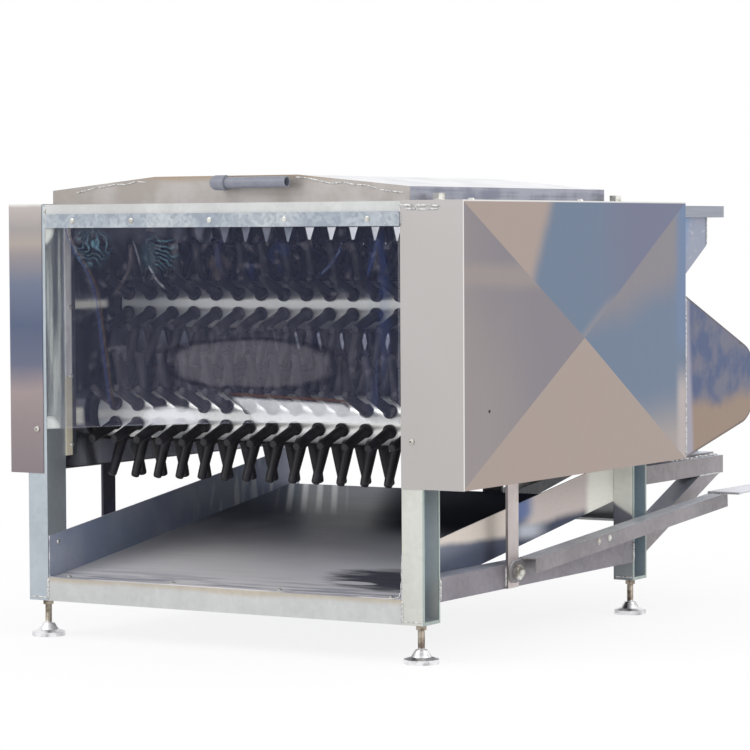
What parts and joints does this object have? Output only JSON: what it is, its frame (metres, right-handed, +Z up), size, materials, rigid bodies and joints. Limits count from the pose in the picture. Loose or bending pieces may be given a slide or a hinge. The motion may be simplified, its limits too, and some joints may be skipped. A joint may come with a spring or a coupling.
{
  "type": "poultry plucker",
  "caption": "Horizontal roller plucker with rubber-fingered rollers in a channel frame, feed hopper, clear curtain, sloped feather tray, sheet covers and foot lever.",
  "frame": {"origin": "bottom centre of the whole machine's box, on the floor", "axes": "+X to the drive side on the right, +Y from the curtain to the feed hopper, +Z up"},
  "size_m": [0.982, 1.3578, 0.8535],
  "materials": {
    "galvanised": "hot-dip galvanised, pale spangle",
    "stainless": "brushed along the machine",
    "tray_steel": "dull sheet, worn",
    "roller_steel": "satin tube",
    "cast_iron": "as cast",
    "zinc_plated": "zinc plated",
    "finger_rubber": "moulded, slightly glossy",
    "black_rubber": "matte",
    "grey_pvc": "grey pressure pipe",
    "clear_pvc": "clear flexible sheet",
    "motor_paint": "blue-grey enamel"
  },
  "bodies": {
    "frame": {"posts": "galvanised", "front_beams": "galvanised", "rear_beams": "galvanised", "bottom_rails": "galvanised", "top_rails": "galvanised", "hanger_bars": "galvanised", "curtain_bar": "galvanised", "motor_base": "galvanised", "motor_brackets": "galvanised", "left_side_plate": "stainless", "right_side_plate": "stainless", "rear_panel": "stainless", "edge_strips": "stainless", "left_cover": "stainless", "right_cover": "stainless", "belt_guard": "stainless", "feed_hopper": "stainless", "hopper_rim": "stainless", "feed_chute": "stainless", "feather_tray": "tray_steel", "left_bearings": "cast_iron", "right_bearings": "cast_iron", "panel_screws": "zinc_plated", "bar_rivets": "zinc_plated", "top_bolts": "zinc_plated", "pivot_bolt": "zinc_plated", "foot_lock_nuts": "zinc_plated", "end_seals": "black_rubber", "transfer_belts": "black_rubber", "drive_belt": "black_rubber", "curtain_strip": "clear_pvc", "motor_body": "motor_paint", "motor_fan_cover": "motor_paint", "terminal_box": "motor_paint"},
    "curtain": {"curtain": "clear_pvc"},
    "lid": {"lid": "stainless", "water_pipe": "grey_pvc", "pipe_elbow": "grey_pvc", "spray_bar": "grey_pvc"},
    "lower_front_roller": {"lower_front_roller": "roller_steel", "lower_front_fingers": "finger_rubber", "lower_front_pulley": "cast_iron"},
    "upper_front_roller": {"upper_front_roller": "roller_steel", "upper_front_fingers": "finger_rubber", "upper_front_pulley": "cast_iron"},
    "lower_rear_roller": {"lower_rear_roller": "roller_steel", "lower_rear_fingers": "finger_rubber", "lower_rear_pulley": "cast_iron", "driven_pulley": "cast_iron"},
    "upper_rear_roller": {"upper_rear_roller": "roller_steel", "upper_rear_fingers": "finger_rubber", "upper_rear_pulley": "cast_iron"},
    "motor_rotor": {"motor_shaft": "zinc_plated", "motor_pulley": "cast_iron"},
    "foot_lever": {"pedal_lever": "galvanised", "tread_plate": "galvanised"},
    "front_left_foot": {"front_left_foot": "zinc_plated"},
    "front_right_foot": {"front_right_foot": "zinc_plated"},
    "rear_left_foot": {"rear_left_foot": "zinc_plated"},
    "rear_right_foot": {"rear_right_foot": "zinc_plated"}
  },
  "joints": [
    {"name": "lower_rear_spin", "type": "hinge", "parent": "frame", "child": "lower_rear_roller", "pos_m": [0, -0.20141, 0.475], "axis": [1, 0, 0], "continuous": true},
    {"name": "lower_front_spin", "type": "hinge", "parent": "frame", "child": "lower_front_roller", "pos_m": [0, -0.48441, 0.41], "axis": [1, 0, 0], "continuous": true},
    {"name": "upper_front_spin", "type": "hinge", "parent": "frame", "child": "upper_front_roller", "pos_m": [0, -0.40341, 0.616], "axis": [1, 0, 0], "continuous": true},
    {"name": "upper_rear_spin", "type": "hinge", "parent": "frame", "child": "upper_rear_roller", "pos_m": [0, -0.12041, 0.681], "axis": [1, 0, 0], "continuous": true},
    {"name": "motor_spin", "type": "hinge", "parent": "frame", "child": "motor_rotor", "pos_m": [0, 0.47159, 0.442], "axis": [1, 0, 0], "continuous": true},
    {"name": "lever_press", "type": "hinge", "parent": "frame", "child": "foot_lever", "pos_m": [0.412, -0.35141, 0.134], "axis": [1, 0, 0], "range_deg": [-8, 0], "stiffness_Nm_per_rad": 40, "springref_deg": 28.65},
    {"name": "curtain_swing", "type": "hinge", "parent": "frame", "child": "curtain", "pos_m": [-0.0205, -0.67041, 0.761], "axis": [-1, 0, 0], "range_deg": [0, 70]},
    {"name": "lid_lift", "type": "slide", "parent": "frame", "child": "lid", "axis": [0, 0, 1], "range_m": [0, 0.25]},
    {"name": "front_left_foot_level", "type": "slide", "parent": "frame", "child": "front_left_foot", "axis": [0, 0, 1], "range_m": [-0.03, 0]},
    {"name": "front_right_foot_level", "type": "slide", "parent": "frame", "child": "front_right_foot", "axis": [0, 0, 1], "range_m": [-0.03, 0]},
    {"name": "rear_left_foot_level", "type": "slide", "parent": "frame", "child": "rear_left_foot", "axis": [0, 0, 1], "range_m": [-0.03, 0]},
    {"name": "rear_right_foot_level", "type": "slide", "parent": "frame", "child": "rear_right_foot", "axis": [0, 0, 1], "range_m": [-0.03, 0]}
  ],
  "couplings": [
    {"joint": "lower_front_spin", "follows": "lower_rear_spin", "ratio": 1},
    {"joint": "upper_front_spin", "follows": "lower_rear_spin", "ratio": 1},
    {"joint": "upper_rear_spin", "follows": "lower_rear_spin", "ratio": 1},
    {"joint": "motor_spin", "follows": "lower_rear_spin", "ratio": 2}
  ]
}
